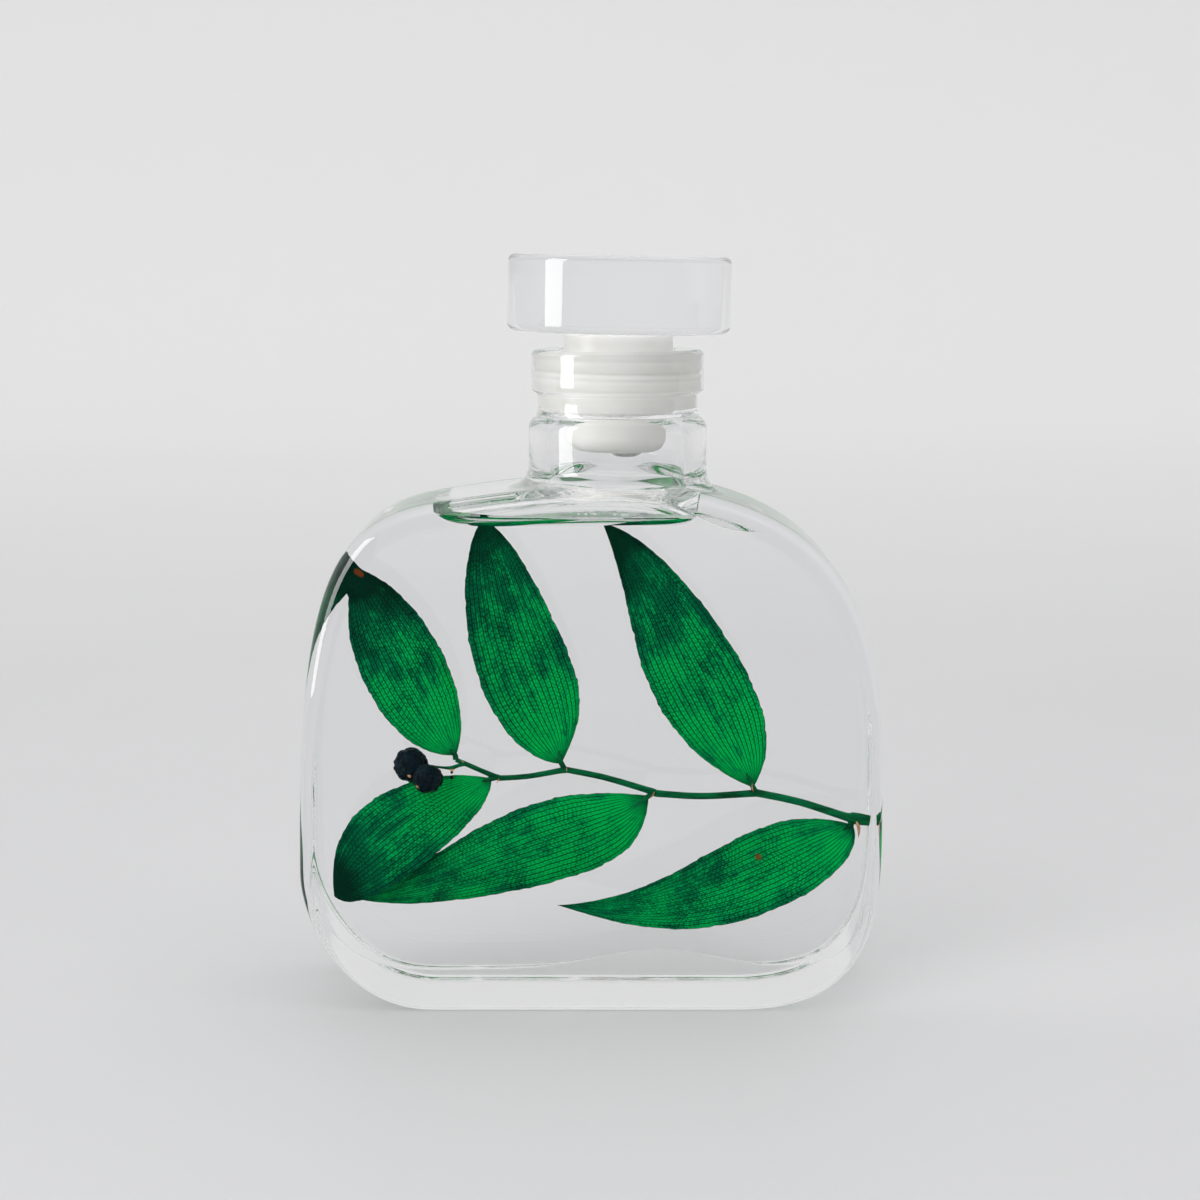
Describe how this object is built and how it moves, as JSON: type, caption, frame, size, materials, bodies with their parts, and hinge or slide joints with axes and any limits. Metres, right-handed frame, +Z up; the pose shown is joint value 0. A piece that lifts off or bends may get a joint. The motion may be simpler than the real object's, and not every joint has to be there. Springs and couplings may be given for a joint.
{
  "type": "ruscus sprig in an oil-filled glass bottle",
  "caption": "Preserved ruscus sprig with leaves and dark berries, set in clear oil inside a flat glass bottle closed by a disc-headed stopper.",
  "frame": {"origin": "centre of the object's box at the surface that it stands on", "axes": "+Z up through the neck, +Y from the broad front face to the back, +X along the body's width to the right"},
  "size_m": [0.093, 0.036, 0.1206],
  "materials": {
    "bottle_glass": "clear polished glass",
    "oil": "clear colourless oil",
    "leaf": "preserved leaf, translucent green with fine darker veins",
    "berry": "dark wrinkled berry skin",
    "plug": "white moulded polyethylene, slightly translucent",
    "disc": "clear polished glass"
  },
  "bodies": {
    "root": {"bottle": "bottle_glass", "oil": "oil", "ruscus_spray": "leaf", "ruscus_berries": "berry", "stopper_plug": "plug", "stopper_head": "disc"}
  },
  "joints": []
}
